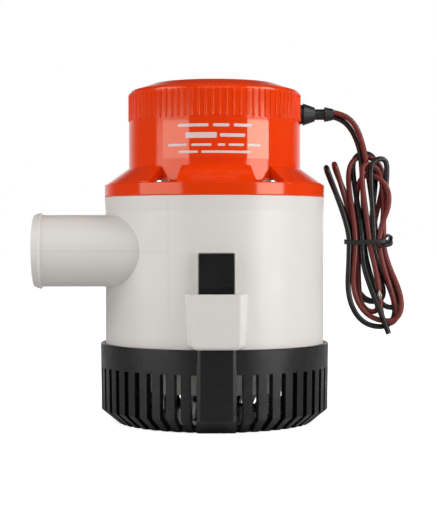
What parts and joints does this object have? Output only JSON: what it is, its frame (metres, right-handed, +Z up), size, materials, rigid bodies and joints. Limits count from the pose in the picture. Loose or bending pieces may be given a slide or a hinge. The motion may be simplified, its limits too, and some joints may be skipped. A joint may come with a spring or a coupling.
{
  "type": "bilge pump",
  "caption": "Submersible bilge pump: slotted snap-off strainer, white casing with side hose tail, orange motor housing, beaded cap and a tied hank of leads.",
  "frame": {"origin": "on the pump's axis at the underside of the strainer base, the centre of the hull screw circle", "axes": "+Z up along the motor shaft; the discharge nozzle points to -X, the cable gland to +X, a latch faces -Y"},
  "size_m": [0.2049, 0.135, 0.1865],
  "materials": {
    "black_plastic": "satin moulded",
    "white_plastic": "semi-gloss moulded",
    "orange_plastic": "gloss moulded",
    "impeller_plastic": "moulded",
    "brush_plate_plastic": "moulded",
    "stainless": "bright",
    "core_steel": "varnished laminations",
    "can_steel": "zinc plated",
    "spring_steel": "bright",
    "copper": "enamelled copper",
    "bronze": "sintered",
    "brass": "plain",
    "ferrite": "ground ferrite",
    "carbon": "pressed carbon",
    "rubber": "plain",
    "gland_rubber": "satin",
    "label_film": "clear film with plain white bars",
    "wire_brown": "smooth insulation",
    "wire_black": "smooth insulation",
    "tie_plastic": "plain"
  },
  "bodies": {
    "strainer": {"strainer_base": "black_plastic"},
    "latch_front": {"latch_arm_front": "black_plastic"},
    "latch_back": {"latch_arm_back": "black_plastic"},
    "pump": {"pump_casing": "white_plastic", "impeller_housing": "white_plastic", "suction_cover": "white_plastic", "cover_studs": "stainless", "cover_nuts": "stainless", "motor_can": "can_steel", "magnets": "ferrite", "lower_bearing": "bronze", "upper_bearing": "bronze", "lower_shaft_seal": "rubber", "upper_shaft_seal": "rubber", "brush_plate": "brush_plate_plastic", "brush_holders": "brass", "brushes": "carbon", "brush_springs": "spring_steel", "motor_housing": "orange_plastic", "housing_oring": "rubber", "housing_screws": "stainless", "screw_washers": "stainless", "label_film": "label_film", "ribbed_cap": "orange_plastic", "cap_oring": "rubber", "cable_gland": "gland_rubber", "gland_nut": "brass", "inner_leads": "wire_black", "lead_brown": "wire_brown", "lead_black": "wire_black", "wire_hank": "wire_brown", "wire_tie": "tie_plastic"},
    "rotor": {"impeller": "impeller_plastic", "impeller_screw": "stainless", "shaft": "stainless", "armature_core": "core_steel", "armature_winding": "copper", "commutator": "copper"}
  },
  "joints": [
    {"name": "lift_off", "type": "slide", "parent": "strainer", "child": "pump", "axis": [0, 0, 1], "range_m": [0, 0.09]},
    {"name": "rotor_spin", "type": "hinge", "parent": "pump", "child": "rotor", "pos_m": [0, 0, 0.09], "axis": [0, 0, 1], "continuous": true},
    {"name": "latch_front_press", "type": "hinge", "parent": "strainer", "child": "latch_front", "pos_m": [0, -0.056, 0.0025], "axis": [-1, 0, 0], "range_deg": [0, 1.4], "stiffness_Nm_per_rad": 6},
    {"name": "latch_back_press", "type": "hinge", "parent": "strainer", "child": "latch_back", "pos_m": [0, 0.056, 0.0025], "axis": [1, 0, 0], "range_deg": [0, 1.4], "stiffness_Nm_per_rad": 6}
  ]
}
